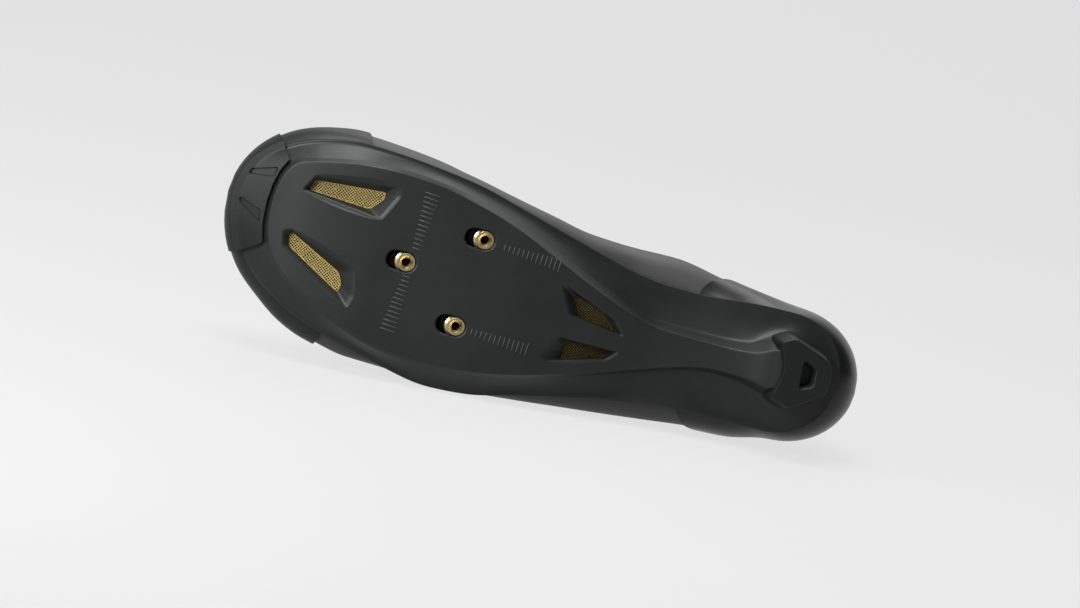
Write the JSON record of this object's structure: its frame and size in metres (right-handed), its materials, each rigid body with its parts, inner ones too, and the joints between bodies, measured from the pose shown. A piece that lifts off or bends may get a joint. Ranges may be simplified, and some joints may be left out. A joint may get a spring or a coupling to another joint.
{
  "type": "cycling shoe",
  "caption": "Road cycling shoe for the right foot, lying on its outer side: hollow low upper, stiff vented sole with slots for a cleat, rubber toe bumper and heel pad.",
  "frame": {"origin": "middle of the footprint of the shoe as it lies on its outer side, at the height of the floor", "axes": "-X to the toe, -Y out of the sole, +Y to the instep, +Z to the inner side of the foot, which is up as the shoe lies"},
  "size_m": [0.2916, 0.119, 0.1007],
  "materials": {
    "sole_shell": "satin moulded composite, dark grey",
    "upper_skin": "satin synthetic leather, dark grey",
    "lining": "black brushed lining cloth",
    "toe_rubber": "thin matt rubbery skin, mid grey",
    "counter_skin": "thin moulded skin, near black",
    "rubber": "matt black rubber",
    "brass": "turned brass",
    "gold_mesh": "woven gold mesh",
    "strap_web": "dark hook and loop strap"
  },
  "bodies": {
    "root": {"outsole": "sole_shell", "upper": "upper_skin", "insole": "lining", "tongue": "lining", "toe_guard": "toe_rubber", "heel_counter": "counter_skin", "toe_bumper": "rubber", "heel_pad": "rubber", "cleat_nut_front": "brass", "cleat_nut_inner": "brass", "cleat_nut_outer": "brass", "vent_mesh_front_inner": "gold_mesh", "vent_mesh_front_outer": "gold_mesh", "vent_mesh_rear_inner": "gold_mesh", "vent_mesh_rear_outer": "gold_mesh", "strap_front": "strap_web", "strap_middle": "strap_web", "strap_top": "strap_web"}
  },
  "joints": []
}
